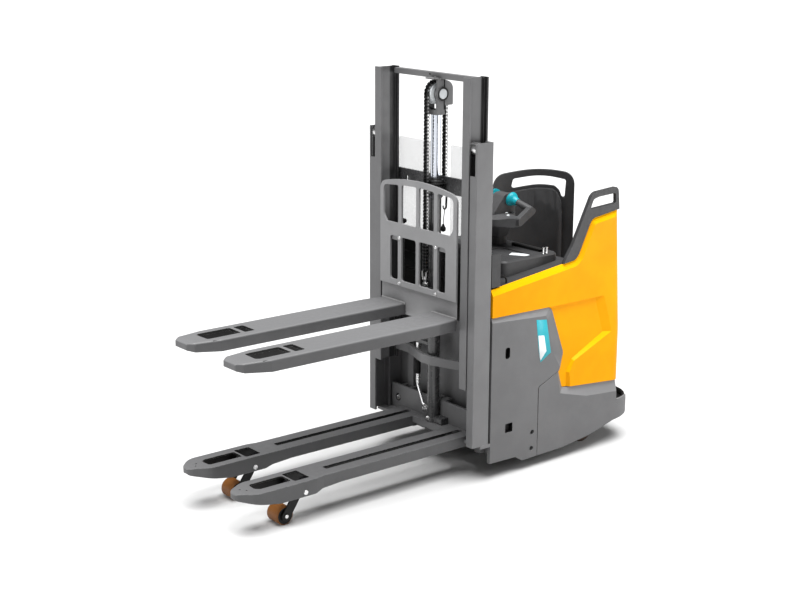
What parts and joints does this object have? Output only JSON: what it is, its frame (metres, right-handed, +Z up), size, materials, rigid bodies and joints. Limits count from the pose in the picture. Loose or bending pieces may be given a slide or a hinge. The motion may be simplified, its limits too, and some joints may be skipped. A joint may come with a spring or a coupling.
{
  "type": "double stacker truck",
  "caption": "Ride-on double stacker with raised forks on a two-stage mast, support arms with load wheels on an initial lift, and a stand with console, steering yoke and backrest.",
  "frame": {"origin": "centre of the bounding box on the floor", "axes": "+X towards the fork tips, +Y to the operator's left, +Z up"},
  "size_m": [2.284, 0.757, 1.848],
  "materials": {
    "frame_paint": "satin",
    "dark_steel": "satin",
    "hull_paint": "satin",
    "dark_plastic": "matte",
    "cushion": "matte",
    "mat": "matte",
    "hose": "matte",
    "load_tread": "satin",
    "drive_tread": "matte",
    "pane": "clear",
    "chrome": "polished",
    "bright_steel": "brushed",
    "chain": "oiled",
    "switch": "satin",
    "pump": "satin"
  },
  "bodies": {
    "drive_unit": {"chassis_frame": "frame_paint", "side_cover_left": "frame_paint", "side_cover_right": "frame_paint", "rear_skirt": "frame_paint", "hull_left": "hull_paint", "hull_right": "hull_paint", "grab_frame": "dark_plastic", "backrest_shell": "dark_plastic", "backrest_pad": "cushion", "console_hood": "dark_plastic", "platform_mat": "mat", "battery": "dark_steel", "power_pack": "pump", "lift_cylinders": "bright_steel"},
    "load_frame": {"outer_column_left": "frame_paint", "outer_column_right": "frame_paint", "outer_crossbar": "frame_paint", "mast_foot": "frame_paint", "support_arm_left": "frame_paint", "support_arm_right": "frame_paint", "mast_cylinder": "frame_paint", "hydraulic_line": "hose", "lift_rods": "chrome", "guard_panes": "pane", "chain_rear": "chain"},
    "inner_mast": {"inner_column_left": "frame_paint", "inner_column_right": "frame_paint", "inner_top_bar": "frame_paint", "inner_lower_bar": "frame_paint", "piston_rod": "chrome", "pulley_head": "frame_paint", "chain_wrap": "chain", "chain_front": "chain"},
    "carriage": {"carriage_frame": "frame_paint", "load_guard": "frame_paint", "guard_bolts": "bright_steel", "fork_left": "frame_paint", "fork_right": "frame_paint"},
    "push_rods": {"push_rods": "dark_steel"},
    "chain_pulley": {"chain_pulley": "chain"},
    "drive_turret": {"drive_turret": "dark_steel"},
    "drive_wheel": {"drive_wheel": "drive_tread"},
    "steering_wheel": {"steering_wheel": "dark_plastic"},
    "outer_roller_left": {"outer_roller_left": "bright_steel"},
    "outer_roller_right": {"outer_roller_right": "bright_steel"},
    "carriage_roller_left": {"carriage_roller_left": "bright_steel"},
    "carriage_roller_right": {"carriage_roller_right": "bright_steel"},
    "rocker_left": {"rocker_left": "dark_steel"},
    "rocker_right": {"rocker_right": "dark_steel"},
    "load_wheel_left": {"load_wheel_left": "load_tread"},
    "load_wheel_right": {"load_wheel_right": "load_tread"},
    "castor_fork_left": {"castor_fork_left": "dark_steel"},
    "castor_fork_right": {"castor_fork_right": "dark_steel"},
    "castor_wheel_left": {"castor_wheel_left": "drive_tread"},
    "castor_wheel_right": {"castor_wheel_right": "drive_tread"},
    "thumb_switch_left": {"thumb_switch_left": "switch"},
    "thumb_switch_right": {"thumb_switch_right": "switch"},
    "thumb_button_left": {"thumb_button_left": "bright_steel"},
    "thumb_button_right": {"thumb_button_right": "bright_steel"}
  },
  "joints": [
    {"name": "initial_lift", "type": "slide", "parent": "drive_unit", "child": "load_frame", "axis": [0, 0, 1], "range_m": [-0.102, 0]},
    {"name": "mast_lift", "type": "slide", "parent": "load_frame", "child": "inner_mast", "axis": [0, 0, 1], "range_m": [-0.25, 0.575], "deforming": ["chain_rear"]},
    {"name": "carriage_lift", "type": "slide", "parent": "inner_mast", "child": "carriage", "axis": [0, 0, 1], "range_m": [-0.25, 0.575], "deforming": ["chain_front"]},
    {"name": "push_rod_slide", "type": "slide", "parent": "load_frame", "child": "push_rods", "axis": [1, 0, 0], "range_m": [-0.0174, 0]},
    {"name": "pulley_spin", "type": "hinge", "parent": "inner_mast", "child": "chain_pulley", "pos_m": [-0.109, 0, 1.749], "axis": [0, 1, 0], "range_deg": [-600, 262]},
    {"name": "drive_steer", "type": "hinge", "parent": "drive_unit", "child": "drive_turret", "pos_m": [-0.526, 0, 0.17], "axis": [0, 0, 1], "range_deg": [-90, 90]},
    {"name": "drive_spin", "type": "hinge", "parent": "drive_turret", "child": "drive_wheel", "pos_m": [-0.526, 0, 0.115], "axis": [0, 1, 0], "continuous": true},
    {"name": "steering_turn", "type": "hinge", "parent": "drive_unit", "child": "steering_wheel", "pos_m": [-0.542, -0.04, 1.05], "axis": [0, 0, 1], "range_deg": [-90, 90]},
    {"name": "rocker_swing_left", "type": "hinge", "parent": "load_frame", "child": "rocker_left", "pos_m": [0.828, 0.1805, 0.148], "axis": [0, 1, 0], "range_deg": [-54.6, 0]},
    {"name": "load_wheel_spin_left", "type": "hinge", "parent": "rocker_left", "child": "load_wheel_left", "pos_m": [0.899, 0.1805, 0.0425], "axis": [0, 1, 0], "continuous": true},
    {"name": "mast_roller_spin_left", "type": "hinge", "parent": "load_frame", "child": "outer_roller_left", "pos_m": [-0.057, 0.338, 1.541], "axis": [0, 1, 0], "range_deg": [-1120, 488]},
    {"name": "carriage_roller_spin_left", "type": "hinge", "parent": "carriage", "child": "carriage_roller_left", "pos_m": [-0.072, 0.2935, 0.885], "axis": [0, 1, 0], "range_deg": [-744, 324]},
    {"name": "castor_swivel_left", "type": "hinge", "parent": "drive_unit", "child": "castor_fork_left", "pos_m": [-0.822, 0.24, 0.15], "axis": [0, 0, 1], "continuous": true},
    {"name": "castor_spin_left", "type": "hinge", "parent": "castor_fork_left", "child": "castor_wheel_left", "pos_m": [-0.857, 0.24, 0.07], "axis": [0, 1, 0], "continuous": true},
    {"name": "thumb_switch_tip_left", "type": "hinge", "parent": "steering_wheel", "child": "thumb_switch_left", "pos_m": [-0.5757, 0.0322, 1.209], "axis": [-0.0832, 0.9596, -0.2687], "range_deg": [-16, 16], "stiffness_Nm_per_rad": 0.6},
    {"name": "thumb_button_press_left", "type": "slide", "parent": "steering_wheel", "child": "thumb_button_left", "axis": [0, 0, 1], "range_m": [-0.003, 0], "stiffness_N_per_m": 500},
    {"name": "rocker_swing_right", "type": "hinge", "parent": "load_frame", "child": "rocker_right", "pos_m": [0.828, -0.1805, 0.148], "axis": [0, 1, 0], "range_deg": [-54.6, 0]},
    {"name": "load_wheel_spin_right", "type": "hinge", "parent": "rocker_right", "child": "load_wheel_right", "pos_m": [0.899, -0.1805, 0.0425], "axis": [0, 1, 0], "continuous": true},
    {"name": "mast_roller_spin_right", "type": "hinge", "parent": "load_frame", "child": "outer_roller_right", "pos_m": [-0.057, -0.338, 1.541], "axis": [0, 1, 0], "range_deg": [-1120, 488]},
    {"name": "carriage_roller_spin_right", "type": "hinge", "parent": "carriage", "child": "carriage_roller_right", "pos_m": [-0.072, -0.2935, 0.885], "axis": [0, 1, 0], "range_deg": [-744, 324]},
    {"name": "castor_swivel_right", "type": "hinge", "parent": "drive_unit", "child": "castor_fork_right", "pos_m": [-0.822, -0.24, 0.15], "axis": [0, 0, 1], "continuous": true},
    {"name": "castor_spin_right", "type": "hinge", "parent": "castor_fork_right", "child": "castor_wheel_right", "pos_m": [-0.857, -0.24, 0.07], "axis": [0, 1, 0], "continuous": true},
    {"name": "thumb_switch_tip_right", "type": "hinge", "parent": "steering_wheel", "child": "thumb_switch_right", "pos_m": [-0.5757, -0.1122, 1.209], "axis": [-0.0832, -0.9596, -0.2687], "range_deg": [-16, 16], "stiffness_Nm_per_rad": 0.6},
    {"name": "thumb_button_press_right", "type": "slide", "parent": "steering_wheel", "child": "thumb_button_right", "axis": [0, 0, 1], "range_m": [-0.003, 0], "stiffness_N_per_m": 500}
  ],
  "couplings": [
    {"joint": "carriage_lift", "follows": "mast_lift", "ratio": 1},
    {"joint": "pulley_spin", "follows": "mast_lift", "rad_per_m": -18.18},
    {"joint": "push_rod_slide", "follows": "initial_lift", "ratio": 0.17},
    {"joint": "steering_turn", "follows": "drive_steer", "ratio": 1},
    {"joint": "rocker_swing_left", "follows": "initial_lift", "rad_per_m": 9.32},
    {"joint": "mast_roller_spin_left", "follows": "mast_lift", "rad_per_m": -33.9},
    {"joint": "carriage_roller_spin_left", "follows": "mast_lift", "rad_per_m": -22.5},
    {"joint": "rocker_swing_right", "follows": "initial_lift", "rad_per_m": 9.32},
    {"joint": "mast_roller_spin_right", "follows": "mast_lift", "rad_per_m": -33.9},
    {"joint": "carriage_roller_spin_right", "follows": "mast_lift", "rad_per_m": -22.5}
  ]
}
